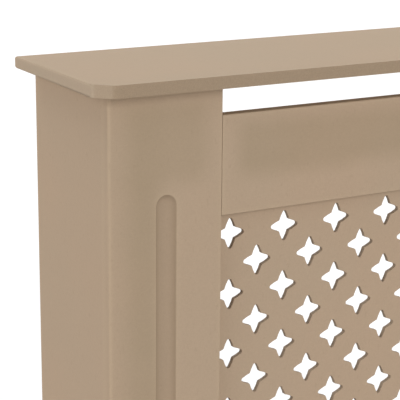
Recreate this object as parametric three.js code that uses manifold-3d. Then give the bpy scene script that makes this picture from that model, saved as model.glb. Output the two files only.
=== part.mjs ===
// Radiator cover cabinet in raw MDF: a top board on two side panels, and a front frame of two
// fluted pilasters and two rails that holds a sheet of staggered four-pointed stars.
//
// Millimetres, +Z up. The origin is on the floor, at the middle of the cover's width and depth.
// The front faces -Y, and the open back stands against the wall at +Y.

import * as THREE from "three";
import { mergeVertices } from "three/addons/utils/BufferGeometryUtils.js";
import Module from "manifold-3d";

const wasm = await Module();
wasm.setup();

// ---------------------------------------------------------------- driving sizes

// The whole cover, which is the size of its top board and its height over the floor
const WIDTH = 1120;
const DEPTH = 190;
const HEIGHT = 815;

// Play
const FACE_GAP = 0.05; // glue line between two flat faces that meet
const HOLE_PLAY = 0.3; // between a screw or dowel and its hole, all round
const HOLE_END_PLAY = 0.5; // between the end of a screw or dowel and the bottom of its hole

// Top board
const TOP_THICKNESS = 12;
const SIDE_OVERHANG = 21;
const FRONT_OVERHANG = 26;
const CORNER_CLIP = 16;
const TOP_EDGE_ROUND = 1.5;

// Side panels
const SIDE_THICKNESS = 12;
const SKIRTING_NOTCH_HEIGHT = 100;
const SKIRTING_NOTCH_DEPTH = 16;

// Front frame: pilasters and rails of one thickness, flush at the front and at the back
const FRAME_THICKNESS = 12;
const PILASTER_WIDTH = 119;
const OUTER_CORNER_ROUND = 3.3;
const INNER_CORNER_ROUND = 0.8;
const HEAT_SLOT = 30;
const TOP_RAIL_HEIGHT = 98;
const BOTTOM_RAIL_HEIGHT = 98;
const FLOOR_GAP = 67;
const RAIL_EDGE_ROUND = 1.6;

// Flute of a pilaster, a shallow cove with round ends
const FLUTE_WIDTH = 22;
const FLUTE_DEPTH = 5.5;
const FLUTE_BELOW_TOP = 100;
const FLUTE_ABOVE_FLOOR = 100;

// Grille sheet
const GRILLE_THICKNESS = 5;
const GRILLE_LAP = 20; // how far the sheet reaches behind the frame
const STAR_PITCH = 62; // between neighbours in a row or a column
const STAR_REACH = 15.8; // from a star's centre to a tip
const STAR_WAIST = 5.9; // from a star's centre lines to an inner corner
const STAR_LAND = 1; // least sheet between the frame's edge and a star

// Corner battens
const BATTEN_SECTION = 18;
const BATTEN_END_CLEARANCE = 12;
const BATTEN_SCREWS = 3;
const BATTEN_SCREW_INSET = 80;
const BATTEN_SCREW_STAGGER = 25; // between the screws that go forward and those that go sideways

// Steel angle brackets
const BRACKET_LEG = 30;
const BRACKET_WIDTH = 18;
const BRACKET_HOLE_FROM_BEND = 19;
const BRACKET_INSET = 30; // from the batten or the back edge to the bracket's middle
const WALL_BRACKET_LEG = 40;
const WALL_BRACKET_WIDTH = 22;
const WALL_BRACKET_HOLE_FROM_BEND = 28;
const WALL_BRACKET_INSET = 87; // from the side panel to the bracket's middle
const STEEL_THICKNESS = 2;
const STEEL_HOLE_RADIUS = 2.6;
const STEEL_BEND_RADIUS = 1.5; // inside the bend

// Screws
const SHANK_RADIUS = 1.75;
const SCREW_POINT = 2.5;
const HEAD_RADIUS = 3.8;
const HEAD_HEIGHT = 2.2;
const SCREW_BITE = 8; // how far a screw goes into the board that it holds to

// Dowels
const DOWEL_RADIUS = 3;
const DOWEL_CHAMFER = 0.8;
const RAIL_DOWEL_LENGTH = 40;
const RAIL_DOWEL_INSET = 24; // from a rail's long edges
const HEAD_DOWEL_LENGTH = 28;
const HEAD_DOWEL_BITE = 8; // how far it goes up into the top board
const HEAD_DOWEL_INSET = 30; // from a pilaster's long edges

// Facets
const ROUND_SIDES = 8; // of a screw, a dowel and their holes
const FLUTE_SIDES = 36; // of the whole circle that the flute's cove is a part of
const FLUTE_END_STEPS = 7;
const EDGE_STEPS = 2; // of a small rounded edge
const CORNER_STEPS = 4;

// ---------------------------------------------------------------- sizes that follow

const TOP_UNDERSIDE = HEIGHT - TOP_THICKNESS;
const BODY_WIDTH = WIDTH - 2 * SIDE_OVERHANG;
const BODY_DEPTH = DEPTH - FRONT_OVERHANG;
const FRONT_FACE = -DEPTH / 2 + FRONT_OVERHANG;
const BODY_HEIGHT = TOP_UNDERSIDE - FACE_GAP;
const OPENING_WIDTH = BODY_WIDTH - 2 * PILASTER_WIDTH;
const TOP_RAIL_BOTTOM = TOP_UNDERSIDE - HEAT_SLOT - TOP_RAIL_HEIGHT;
const BOTTOM_RAIL_TOP = FLOOR_GAP + BOTTOM_RAIL_HEIGHT;
const OPENING_HEIGHT = TOP_RAIL_BOTTOM - BOTTOM_RAIL_TOP;
const FRAME_BACK = FRAME_THICKNESS + FACE_GAP; // from the front face to what lies behind the frame

// ---------------------------------------------------------------- materials

const mdf = (color) => new THREE.MeshStandardMaterial({ color, roughness: 0.85, metalness: 0 });
const steel = () => new THREE.MeshStandardMaterial({ color: 0xb8bcc0, roughness: 0.35, metalness: 1 });
const beech = () => new THREE.MeshStandardMaterial({ color: 0xd0b184, roughness: 0.7, metalness: 0 });

const MDF_FACE = 0xb39b81;
const MDF_SHEET = 0xaf977d;
const MDF_STRIP = 0xa68e74;

// ---------------------------------------------------------------- solids

const WELD = 1e-4;

// A geometry as a manifold-3d solid, placed by a matrix.
function solidOf(geometry, placement) {
  const source = geometry.index ? geometry.toNonIndexed() : geometry;
  const bare = new THREE.BufferGeometry();
  bare.setAttribute("position", source.getAttribute("position").clone());
  const welded = mergeVertices(bare.applyMatrix4(placement), WELD);
  const triVerts = Uint32Array.from(welded.index.array);
  if (placement.determinant() < 0) {
    for (let i = 0; i < triVerts.length; i += 3) {
      [triVerts[i + 1], triVerts[i + 2]] = [triVerts[i + 2], triVerts[i + 1]];
    }
  }
  const vertProperties = Float32Array.from(welded.getAttribute("position").array);
  return new wasm.Manifold(new wasm.Mesh({ numProp: 3, vertProperties, triVerts }));
}

// A manifold-3d solid as a geometry.
function geometryOf(solid) {
  const { numProp, vertProperties, triVerts } = solid.getMesh();
  const count = vertProperties.length / numProp;
  const position = new Float32Array(count * 3);
  for (let i = 0; i < count; i++) {
    position.set(vertProperties.subarray(i * numProp, i * numProp + 3), i * 3);
  }
  const geometry = new THREE.BufferGeometry();
  geometry.setAttribute("position", new THREE.BufferAttribute(position, 3));
  geometry.setIndex(new THREE.BufferAttribute(Uint32Array.from(triVerts), 1));
  geometry.computeVertexNormals();
  return geometry;
}

function named(name, geometry, material) {
  const mesh = new THREE.Mesh(geometry, material);
  mesh.name = name;
  return mesh;
}

// A shape drawn with x as the depth and y as the height, extruded across the cover's width.
function acrossWidth(mesh) {
  mesh.rotation.set(Math.PI / 2, Math.PI / 2, 0);
  return mesh;
}

// Adds a rounded corner at (x, y), coming along one side and leaving along the other.
function roundCorner(shape, x, y, from, to, radius, steps) {
  const centre = [x - (from[0] - to[0]) * radius, y - (from[1] - to[1]) * radius];
  for (let i = 0; i <= steps; i++) {
    const angle = (i / steps) * (Math.PI / 2);
    const [out, side] = [radius * Math.cos(angle), radius * Math.sin(angle)];
    shape.lineTo(
      centre[0] - to[0] * out + from[0] * side,
      centre[1] - to[1] * out + from[1] * side,
    );
  }
}

// ---------------------------------------------------------------- boards

function topBoard() {
  const [halfWidth, halfDepth] = [WIDTH / 2, DEPTH / 2];
  const outline = new THREE.Shape();
  outline.moveTo(-halfWidth, halfDepth);
  outline.lineTo(-halfWidth, -halfDepth + CORNER_CLIP);
  outline.lineTo(-halfWidth + CORNER_CLIP, -halfDepth);
  outline.lineTo(halfWidth - CORNER_CLIP, -halfDepth);
  outline.lineTo(halfWidth, -halfDepth + CORNER_CLIP);
  outline.lineTo(halfWidth, halfDepth);
  const geometry = new THREE.ExtrudeGeometry(outline, {
    depth: TOP_THICKNESS - 2 * TOP_EDGE_ROUND,
    bevelThickness: TOP_EDGE_ROUND,
    bevelSize: TOP_EDGE_ROUND,
    bevelOffset: -TOP_EDGE_ROUND,
    bevelSegments: EDGE_STEPS,
  });
  const board = named("top_board", geometry, mdf(MDF_FACE));
  board.position.z = TOP_UNDERSIDE + TOP_EDGE_ROUND;
  return board;
}

// The side panel stands behind the pilaster. Its back is notched to pass over a skirting board.
function sidePanel(name) {
  const depth = BODY_DEPTH - FRAME_BACK;
  const outline = new THREE.Shape();
  outline.moveTo(0, 0);
  outline.lineTo(depth - SKIRTING_NOTCH_DEPTH, 0);
  outline.lineTo(depth - SKIRTING_NOTCH_DEPTH, SKIRTING_NOTCH_HEIGHT);
  outline.lineTo(depth, SKIRTING_NOTCH_HEIGHT);
  outline.lineTo(depth, BODY_HEIGHT);
  outline.lineTo(0, BODY_HEIGHT);
  const geometry = new THREE.ExtrudeGeometry(outline, { depth: SIDE_THICKNESS, bevelEnabled: false });
  const panel = acrossWidth(named(name, geometry, mdf(MDF_FACE)));
  panel.position.y = FRAME_BACK;
  return panel;
}

// The flute's cutter: a bar with domed ends, whose middle line lies in front of the face.
function fluteCutter() {
  const radius = (FLUTE_WIDTH ** 2 / 4 + FLUTE_DEPTH ** 2) / (2 * FLUTE_DEPTH);
  const endInset = FLUTE_WIDTH / 2;
  const low = FLUTE_ABOVE_FLOOR + endInset;
  const high = TOP_UNDERSIDE - FLUTE_BELOW_TOP - endInset;
  const profile = [];
  for (let i = 0; i <= FLUTE_END_STEPS; i++) {
    const angle = (i / FLUTE_END_STEPS) * (Math.PI / 2);
    profile.push(new THREE.Vector2(radius * Math.sin(angle), low - radius * Math.cos(angle)));
  }
  for (let i = FLUTE_END_STEPS; i >= 0; i--) {
    const angle = (i / FLUTE_END_STEPS) * (Math.PI / 2);
    profile.push(new THREE.Vector2(radius * Math.sin(angle), high + radius * Math.cos(angle)));
  }
  const cutter = new THREE.Mesh(new THREE.LatheGeometry(profile, FLUTE_SIDES));
  cutter.rotation.x = Math.PI / 2;
  cutter.position.set(PILASTER_WIDTH / 2, FLUTE_DEPTH - radius, 0);
  return cutter;
}

// The front post: its outer front corner is well rounded, its inner one only eased.
function pilaster(name) {
  const plan = new THREE.Shape();
  plan.moveTo(0, FRAME_THICKNESS);
  roundCorner(plan, 0, 0, [0, -1], [1, 0], OUTER_CORNER_ROUND, CORNER_STEPS);
  roundCorner(plan, PILASTER_WIDTH, 0, [1, 0], [0, 1], INNER_CORNER_ROUND, EDGE_STEPS);
  plan.lineTo(PILASTER_WIDTH, FRAME_THICKNESS);
  const post = new THREE.ExtrudeGeometry(plan, { depth: BODY_HEIGHT, bevelEnabled: false });
  const cutter = fluteCutter();
  cutter.updateMatrix();
  const fluted = solidOf(post, new THREE.Matrix4()).subtract(solidOf(cutter.geometry, cutter.matrix));
  return named(name, geometryOf(fluted), mdf(MDF_FACE));
}

// A rail between the pilasters, with both front edges eased.
function rail(name, bottom, height) {
  const length = OPENING_WIDTH - 2 * FACE_GAP;
  const section = new THREE.Shape();
  section.moveTo(FRAME_THICKNESS, 0);
  section.lineTo(FRAME_THICKNESS, height);
  roundCorner(section, 0, height, [-1, 0], [0, -1], RAIL_EDGE_ROUND, EDGE_STEPS);
  roundCorner(section, 0, 0, [0, -1], [1, 0], RAIL_EDGE_ROUND, EDGE_STEPS);
  const geometry = new THREE.ExtrudeGeometry(section, { depth: length, bevelEnabled: false });
  const board = acrossWidth(named(name, geometry, mdf(MDF_FACE)));
  board.position.set(-length / 2, FRONT_FACE, bottom);
  return board;
}

// ---------------------------------------------------------------- grille

// A star hole: four tips, with an inner corner between each two.
function starHole(x, y) {
  const star = new THREE.Path();
  const corners = [];
  for (let arm = 0; arm < 4; arm++) {
    const angle = (arm * Math.PI) / 2;
    corners.push([STAR_REACH, angle], [STAR_WAIST * Math.SQRT2, angle + Math.PI / 4]);
  }
  star.setFromPoints(
    corners.map(([radius, angle]) => new THREE.Vector2(
      x + radius * Math.cos(angle),
      y + radius * Math.sin(angle),
    )),
  );
  return star;
}

// How many half pitches fit between the stars nearest to the frame's two edges.
function starSteps(opening) {
  return Math.floor((opening - 2 * (STAR_REACH + STAR_LAND)) / (STAR_PITCH / 2));
}

// The sheet of stars, drawn round the middle of the opening. Every second place holds a star.
function grillePanel() {
  const [halfWidth, halfHeight] = [OPENING_WIDTH / 2 + GRILLE_LAP, OPENING_HEIGHT / 2 + GRILLE_LAP];
  const sheet = new THREE.Shape();
  sheet.moveTo(-halfWidth, -halfHeight);
  sheet.lineTo(halfWidth, -halfHeight);
  sheet.lineTo(halfWidth, halfHeight);
  sheet.lineTo(-halfWidth, halfHeight);
  const step = STAR_PITCH / 2;
  const [columns, rows] = [starSteps(OPENING_WIDTH), starSteps(OPENING_HEIGHT)];
  for (let row = 0; row <= rows; row++) {
    for (let column = row % 2; column <= columns; column += 2) {
      sheet.holes.push(starHole((column - columns / 2) * step, (rows / 2 - row) * step));
    }
  }
  const geometry = new THREE.ExtrudeGeometry(sheet, { depth: GRILLE_THICKNESS, bevelEnabled: false });
  const panel = named("grille_panel", geometry, mdf(MDF_SHEET));
  panel.rotation.x = Math.PI / 2;
  panel.position.set(
    0,
    FRONT_FACE + FRAME_BACK + GRILLE_THICKNESS,
    BOTTOM_RAIL_TOP + OPENING_HEIGHT / 2,
  );
  return panel;
}

// ---------------------------------------------------------------- fasteners

const drilled = []; // each fastener's hole, and the boards that it is drilled in

// A turned solid along its own y axis, from [radius, height] pairs that start and end on the axis.
function turned(profile) {
  const points = profile.map(([radius, height]) => new THREE.Vector2(radius, height));
  return new THREE.LatheGeometry(points, ROUND_SIDES);
}

// A pan head screw. Its head faces the way given, and its shank goes the other way.
function screw(name, place, facing, length, boards) {
  const geometry = turned([
    [0, -length],
    [SHANK_RADIUS, -length + SCREW_POINT],
    [SHANK_RADIUS, FACE_GAP],
    [HEAD_RADIUS, FACE_GAP],
    [HEAD_RADIUS, HEAD_HEIGHT / 2],
    [HEAD_RADIUS / 2, HEAD_HEIGHT],
    [0, HEAD_HEIGHT],
  ]);
  const mesh = named(name, geometry, steel());
  mesh.position.set(...place);
  mesh.quaternion.setFromUnitVectors(new THREE.Vector3(0, 1, 0), new THREE.Vector3(...facing));
  const radius = SHANK_RADIUS + HOLE_PLAY;
  const hole = turned([
    [0, -length - HOLE_END_PLAY],
    [radius, -length - HOLE_END_PLAY + SCREW_POINT],
    [radius, HEAD_HEIGHT],
    [0, HEAD_HEIGHT],
  ]);
  drilled.push({ fastener: mesh, hole, boards });
  return mesh;
}

// A dowel across a joint, whose middle is at a given place along the axis given.
function dowel(name, place, along, length, boards) {
  const half = length / 2;
  const geometry = turned([
    [0, -half],
    [DOWEL_RADIUS - DOWEL_CHAMFER, -half],
    [DOWEL_RADIUS, -half + DOWEL_CHAMFER],
    [DOWEL_RADIUS, half - DOWEL_CHAMFER],
    [DOWEL_RADIUS - DOWEL_CHAMFER, half],
    [0, half],
  ]);
  const mesh = named(name, geometry, beech());
  mesh.position.set(...place);
  mesh.quaternion.setFromUnitVectors(new THREE.Vector3(0, 1, 0), new THREE.Vector3(...along));
  const [radius, end] = [DOWEL_RADIUS + HOLE_PLAY, half + HOLE_END_PLAY];
  const hole = turned([[0, -end], [radius, -end], [radius, end], [0, end]]);
  drilled.push({ fastener: mesh, hole, boards });
  return mesh;
}

// A folded steel angle. One leg lies along x and one along y, each with its outer face on the axis.
function steelAngle(name, leg, width, holeFromBend) {
  const outer = STEEL_BEND_RADIUS + STEEL_THICKNESS;
  const outline = new THREE.Shape();
  outline.moveTo(leg, 0);
  outline.lineTo(leg, STEEL_THICKNESS);
  outline.lineTo(outer, STEEL_THICKNESS);
  outline.absarc(outer, outer, STEEL_BEND_RADIUS, -Math.PI / 2, -Math.PI, true);
  outline.lineTo(STEEL_THICKNESS, leg);
  outline.lineTo(0, leg);
  outline.absarc(outer, outer, outer, Math.PI, Math.PI * 1.5, false);
  const geometry = new THREE.ExtrudeGeometry(outline, {
    depth: width,
    bevelEnabled: false,
    curveSegments: EDGE_STEPS,
  });
  geometry.translate(0, 0, -width / 2);
  const punch = turned([
    [0, -STEEL_THICKNESS],
    [STEEL_HOLE_RADIUS, -STEEL_THICKNESS],
    [STEEL_HOLE_RADIUS, 2 * STEEL_THICKNESS],
    [0, 2 * STEEL_THICKNESS],
  ]);
  const alongX = new THREE.Matrix4().makeTranslation(holeFromBend, 0, 0);
  const alongY = new THREE.Matrix4()
    .makeTranslation(0, holeFromBend, 0)
    .multiply(new THREE.Matrix4().makeRotationZ(-Math.PI / 2));
  const punched = solidOf(geometry, new THREE.Matrix4())
    .subtract(solidOf(punch, alongX))
    .subtract(solidOf(punch, alongY));
  return named(name, geometryOf(punched), steel());
}

const BRACKET_SCREW_LENGTH = STEEL_THICKNESS + SCREW_BITE;
const BATTEN_SCREW_LENGTH = BATTEN_SECTION + FACE_GAP + SCREW_BITE;
const GRILLE_SCREW_LENGTH = GRILLE_THICKNESS + FACE_GAP + SCREW_BITE;

// An angle in the corner of a side panel and the top board, with a screw into each.
function topBracket(name, end, fromFront) {
  const bracket = new THREE.Group();
  bracket.add(
    steelAngle(name, BRACKET_LEG, BRACKET_WIDTH, BRACKET_HOLE_FROM_BEND),
    screw(
      name + "_top_screw",
      [BRACKET_HOLE_FROM_BEND, STEEL_THICKNESS, 0],
      [0, 1, 0],
      BRACKET_SCREW_LENGTH,
      ["top_board"],
    ),
    screw(
      name + "_side_screw",
      [STEEL_THICKNESS, BRACKET_HOLE_FROM_BEND, 0],
      [1, 0, 0],
      BRACKET_SCREW_LENGTH,
      [end + "_side_panel"],
    ),
  );
  bracket.rotation.x = -Math.PI / 2;
  bracket.position.set(SIDE_THICKNESS + FACE_GAP, fromFront, BODY_HEIGHT);
  return bracket;
}

// An angle under the top board whose other leg lies in the plane of the wall.
function wallBracket(name) {
  const bracket = new THREE.Group();
  bracket.add(
    steelAngle(name, WALL_BRACKET_LEG, WALL_BRACKET_WIDTH, WALL_BRACKET_HOLE_FROM_BEND),
    screw(
      name + "_screw",
      [WALL_BRACKET_HOLE_FROM_BEND, STEEL_THICKNESS, 0],
      [0, 1, 0],
      BRACKET_SCREW_LENGTH,
      ["top_board"],
    ),
  );
  bracket.rotation.set(-Math.PI / 2, 0, -Math.PI / 2, "ZXY");
  bracket.position.set(SIDE_THICKNESS + WALL_BRACKET_INSET, BODY_DEPTH, BODY_HEIGHT);
  return bracket;
}

// ---------------------------------------------------------------- one end of the cover

// Heights of a batten's screws, spread evenly between its insets.
function battenScrewHeights() {
  const low = BATTEN_END_CLEARANCE + BATTEN_SCREW_INSET;
  const high = BODY_HEIGHT - BATTEN_END_CLEARANCE - BATTEN_SCREW_INSET;
  return Array.from({ length: BATTEN_SCREWS }, (_, i) => low + ((high - low) * i) / (BATTEN_SCREWS - 1));
}

// The strip in the corner behind the pilaster, and the screws that hold it both ways.
function cornerBatten(end) {
  const name = end + "_corner_batten";
  const height = BODY_HEIGHT - 2 * BATTEN_END_CLEARANCE;
  const strip = named(
    name,
    new THREE.BoxGeometry(BATTEN_SECTION, BATTEN_SECTION, height),
    mdf(MDF_STRIP),
  );
  const [x, y] = [SIDE_THICKNESS + FACE_GAP, FRAME_BACK];
  const half = BATTEN_SECTION / 2;
  strip.position.set(x + half, y + half, BATTEN_END_CLEARANCE + height / 2);
  const pieces = [strip];
  battenScrewHeights().forEach((height, i) => {
    pieces.push(
      screw(
        `${end}_pilaster_screw_${i + 1}`,
        [x + half, y + BATTEN_SECTION, height],
        [0, 1, 0],
        BATTEN_SCREW_LENGTH,
        [name, end + "_pilaster"],
      ),
      screw(
        `${end}_side_screw_${i + 1}`,
        [x + BATTEN_SECTION, y + half, height + BATTEN_SCREW_STAGGER],
        [1, 0, 0],
        BATTEN_SCREW_LENGTH,
        [name, end + "_side_panel"],
      ),
    );
  });
  return pieces;
}

// Two dowels where a rail meets the pilaster's inner edge.
function railDowels(end, railName, bottom, height) {
  return [RAIL_DOWEL_INSET, height - RAIL_DOWEL_INSET].map((up, i) => dowel(
    `${end}_${railName}_dowel_${i + 1}`,
    [PILASTER_WIDTH, FRAME_THICKNESS / 2, bottom + up],
    [1, 0, 0],
    RAIL_DOWEL_LENGTH,
    [end + "_pilaster", railName],
  ));
}

// Two dowels in the pilaster's head, under the top board.
function headDowels(end) {
  const middle = TOP_UNDERSIDE + HEAD_DOWEL_BITE - HEAD_DOWEL_LENGTH / 2;
  return [HEAD_DOWEL_INSET, PILASTER_WIDTH - HEAD_DOWEL_INSET].map((x, i) => dowel(
    `${end}_head_dowel_${i + 1}`,
    [x, FRAME_THICKNESS / 2, middle],
    [0, 0, 1],
    HEAD_DOWEL_LENGTH,
    [end + "_pilaster", "top_board"],
  ));
}

// An end of the cover, in a frame at its outer front corner on the floor, with x pointing inwards.
function coverEnd(end) {
  const group = new THREE.Group();
  const battenBack = FRAME_BACK + BATTEN_SECTION;
  group.add(
    sidePanel(end + "_side_panel"),
    pilaster(end + "_pilaster"),
    ...cornerBatten(end),
    ...headDowels(end),
    ...railDowels(end, "top_rail", TOP_RAIL_BOTTOM, TOP_RAIL_HEIGHT),
    ...railDowels(end, "bottom_rail", FLOOR_GAP, BOTTOM_RAIL_HEIGHT),
    topBracket(end + "_front_bracket", end, battenBack + BRACKET_INSET),
    topBracket(end + "_back_bracket", end, BODY_DEPTH - BRACKET_INSET),
    wallBracket(end + "_wall_bracket"),
  );
  group.position.y = FRONT_FACE;
  return group;
}

// ---------------------------------------------------------------- the whole cover

// Screws through the sheet's lap: three along each rail, and one into each pilaster.
function grilleScrews() {
  const back = FRONT_FACE + FRAME_BACK + GRILLE_THICKNESS;
  const lapMiddle = GRILLE_LAP / 2;
  const rows = [
    ["top", TOP_RAIL_BOTTOM + lapMiddle, "top_rail"],
    ["bottom", BOTTOM_RAIL_TOP - lapMiddle, "bottom_rail"],
  ];
  const columns = [["left", -OPENING_WIDTH / 3], ["middle", 0], ["right", OPENING_WIDTH / 3]];
  const along = rows.flatMap(([row, z, board]) => columns.map(([column, x]) => screw(
    `grille_screw_${row}_${column}`,
    [x, back, z],
    [0, 1, 0],
    GRILLE_SCREW_LENGTH,
    ["grille_panel", board],
  )));
  const beside = [["left", -1], ["right", 1]].map(([end, side]) => screw(
    `grille_screw_${end}`,
    [side * (OPENING_WIDTH / 2 + lapMiddle), back, BOTTOM_RAIL_TOP + OPENING_HEIGHT / 2],
    [0, 1, 0],
    GRILLE_SCREW_LENGTH,
    ["grille_panel", end + "_pilaster"],
  ));
  return [...along, ...beside];
}

// Drills each fastener's hole in the boards that it goes through or into.
function drillBoards(root) {
  root.updateMatrixWorld(true);
  const boards = new Map();
  for (const { fastener, hole, boards: names } of drilled) {
    for (const name of names) {
      const board = root.getObjectByName(name);
      const toBoard = board.matrixWorld.clone().invert().multiply(fastener.matrixWorld);
      const body = boards.get(board) ?? solidOf(board.geometry, new THREE.Matrix4());
      boards.set(board, body.subtract(solidOf(hole, toBoard)));
    }
  }
  for (const [board, body] of boards) board.geometry = geometryOf(body);
}

const cover = new THREE.Group();
const leftEnd = coverEnd("left");
const rightEnd = coverEnd("right");
leftEnd.position.x = -BODY_WIDTH / 2;
rightEnd.position.x = BODY_WIDTH / 2;
rightEnd.scale.x = -1;
cover.add(
  topBoard(),
  leftEnd,
  rightEnd,
  rail("top_rail", TOP_RAIL_BOTTOM, TOP_RAIL_HEIGHT),
  rail("bottom_rail", FLOOR_GAP, BOTTOM_RAIL_HEIGHT),
  grillePanel(),
  ...grilleScrews(),
);
drillBoards(cover);

export default cover;
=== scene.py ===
"""The looks of a raw MDF radiator cover: its boards, its sheet of stars and the fittings behind them.

Metres, +Z up, the front towards -Y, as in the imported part.
"""

import functools
import math

import bmesh
import bpy
from mathutils import Matrix, Vector
from mathutils.geometry import tessellate_polygon


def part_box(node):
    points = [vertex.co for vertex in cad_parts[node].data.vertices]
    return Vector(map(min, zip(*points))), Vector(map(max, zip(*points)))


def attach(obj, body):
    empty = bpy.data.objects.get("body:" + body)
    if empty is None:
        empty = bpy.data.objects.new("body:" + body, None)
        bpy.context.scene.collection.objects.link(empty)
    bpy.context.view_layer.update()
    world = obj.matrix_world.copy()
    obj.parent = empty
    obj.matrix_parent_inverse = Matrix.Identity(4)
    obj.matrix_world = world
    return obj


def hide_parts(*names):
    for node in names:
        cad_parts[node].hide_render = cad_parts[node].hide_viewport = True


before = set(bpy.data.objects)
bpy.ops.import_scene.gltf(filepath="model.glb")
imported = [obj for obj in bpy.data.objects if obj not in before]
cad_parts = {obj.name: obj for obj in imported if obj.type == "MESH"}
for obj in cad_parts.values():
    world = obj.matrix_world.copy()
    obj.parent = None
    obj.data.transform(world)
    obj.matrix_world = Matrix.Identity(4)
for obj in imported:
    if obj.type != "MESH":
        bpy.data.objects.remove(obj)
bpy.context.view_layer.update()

# ------ sizes

MM = 0.001

# Edges of the boards
BOARD_EDGE_ROUND = 2.4 * MM
BOARD_EDGE_STEPS = 4
CORNER_CLIP = 16 * MM
CLIP_ROUND = 9 * MM  # where the clip meets the front and the side
CLIP_ROUND_STEPS = 7
SKIRTING_NOTCH_HEIGHT = 100 * MM
SKIRTING_NOTCH_DEPTH = 16 * MM
RAIL_EDGE_ROUND = 1.6 * MM
RAIL_EDGE_STEPS = 5
SAWN_EDGE_ROUND = 0.5 * MM
SAWN_EDGE_STEPS = 3
JOINT_EDGE_ROUND = 0.25 * MM
# From a rail's end: (way in, inset), as shares of the round
JOINT_EDGE_PROFILE = [(0.0, 1.0), (0.3, 0.3), (1.0, 0.0)]
BATTEN_EDGE_ROUND = 0.9 * MM

# Painted shade: soft darker patches on the front boards that stand in for occlusion shade under the top board
# and across the faces. Each is a soft box that dips into the face.
PATCH_STAND_OFF = 10 * MM  # of the box's middle, in front of the face
PATCH_HALF_DEPTH = 16 * MM
PATCH_SOFTNESS = 14 * MM
PATCH_WAVER = 8 * MM
# Painted shade on a pilaster: (middle from the outer edge, middle from the floor, half width, half height,
# amount)
PILASTER_SHADE_PATCHES = [
    (61 * MM, 752 * MM, 41 * MM, 38 * MM, 0.12),
    (36 * MM, 376 * MM, 16 * MM, 340 * MM, 0.11),
    (28 * MM, 400 * MM, 28 * MM, 400 * MM, 0.05),
]
# Painted shade on a rail: (middle from the floor, amount)
RAIL_SHADE_PATCHES = {"top_rail": (738 * MM, 0.15), "bottom_rail": (118 * MM, 0.08)}
RAIL_PATCH_INSET = 20 * MM
RAIL_PATCH_HALF_HEIGHT = 26 * MM

# Pilaster and its flute
OUTER_CORNER_ROUND = 3.3 * MM
OUTER_CORNER_STEPS = 8
INNER_CORNER_ROUND = 0.8 * MM
INNER_CORNER_STEPS = 4
FLUTE_WIDTH = 22 * MM
FLUTE_DEPTH = 5.5 * MM
FLUTE_BELOW_TOP = 100 * MM
FLUTE_ABOVE_FLOOR = 100 * MM
FLUTE_LIP_ROUND = 0.45 * MM
FLUTE_LIP_STEPS = 3
FLUTE_COVE_STEPS = 10
FLUTE_END_STEPS = 16
FLUTE_MARGIN = 7 * MM  # over which the painted highlight of the flute's lip fades in

# Sheet of stars
STAR_PITCH = 62 * MM
STAR_REACH = 15.4 * MM
STAR_WAIST = 5.75 * MM
STAR_RIM_ROUND = 0.3 * MM
GRILLE_LAP = 20 * MM
STAR_LAND = 1 * MM
PETAL_FLANK_RADIUS = 40 * MM
PETAL_TIP_RADIUS = 2.3 * MM
PETAL_FLANK_STEPS = 2
PETAL_TIP_STEPS = 4

# Steel angles
STEEL_THICKNESS = 2 * MM
STEEL_BEND_RADIUS = 1.5 * MM
STEEL_BEND_STEPS = 6
STEEL_HOLE_RADIUS = 2.6 * MM
STEEL_HOLE_SIDES = 20
STEEL_CORNER_ROUND = 3 * MM
STEEL_CORNER_STEPS = 5
STEEL_EDGE_ROUND = 0.25 * MM
BRACKET_HOLE_FROM_BEND = 19 * MM
WALL_BRACKET_HOLE_FROM_BEND = 28 * MM

# Screws
SCREW_SIDES = 16
HEAD_RADIUS = 3.8 * MM
HEAD_HEIGHT = 2.2 * MM
# (share of the head's radius, height in millimetres over the bearing face)
HEAD_PROFILE = [(0.94, 0.0), (1.0, 0.25), (1.0, 0.62), (0.93, 1.3), (0.78, 1.78), (0.5, 2.1), (0.2, 2.2)]
SHANK_RADIUS = 1.75 * MM
THREAD_CORE_RADIUS = 1.2 * MM
THREAD_PITCH = 1.6 * MM
THREAD_STEPS = 5  # rows of vertices in a turn
THREAD_STEEPNESS = 3.2
THREAD_END = 1.2 * MM  # under the bearing face
NECK_RADIUS = THREAD_CORE_RADIUS * 1.15
NECK_END = 0.9 * MM  # under the bearing face
SCREW_POINT = 2.5 * MM
POINT_BLUNTNESS = 0.05
RECESS_REACH = 2.1 * MM
RECESS_HALF_WIDTH = 0.5 * MM
RECESS_DEPTH = 1.4 * MM
RECESS_TIP = 0.45  # size of the cross at its bottom and over the head, as shares
RECESS_MOUTH = 1.1

# Dowels
DOWEL_RADIUS = 3 * MM
DOWEL_GROOVE = 0.25 * MM
DOWEL_GROOVES = 16
DOWEL_CHAMFER = 0.8 * MM

# Meshes
WELD = 0.001 * MM
NEAR = 0.1 * MM
LEAST_TRIANGLE = 1e-12  # twice its area, in square metres
EVEN_FACE_WEIGHT = 90

# ------ shader helpers


def feed(socket, value):
    """Links a socket to another node's output, or sets it to a plain value."""
    if isinstance(value, bpy.types.NodeSocket):
        socket.id_data.links.new(value, socket)
    else:
        socket.default_value = value


def place(tree, kind, inputs=(), **settings):
    """A node with its settings, and with inputs that are named or that come in a row."""
    node = tree.nodes.new("ShaderNode" + kind)
    for name, value in settings.items():
        setattr(node, name, value)
    named = inputs if isinstance(inputs, dict) else dict(enumerate(inputs))
    for name, value in named.items():
        feed(node.inputs[name], value)
    return node


def maths(tree, operation, *values):
    """The output of one Math node."""
    return place(tree, "Math", values, operation=operation).outputs[0]


def times(tree, first, second):
    """The product of two values."""
    return maths(tree, "MULTIPLY", first, second)


def vector_maths(tree, operation, *values):
    """The vector that one Vector Math node gives."""
    return place(tree, "VectorMath", values, operation=operation).outputs["Vector"]


def parts_of(tree, vector):
    """The x, y and z of a vector."""
    return place(tree, "SeparateXYZ", [vector]).outputs


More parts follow.
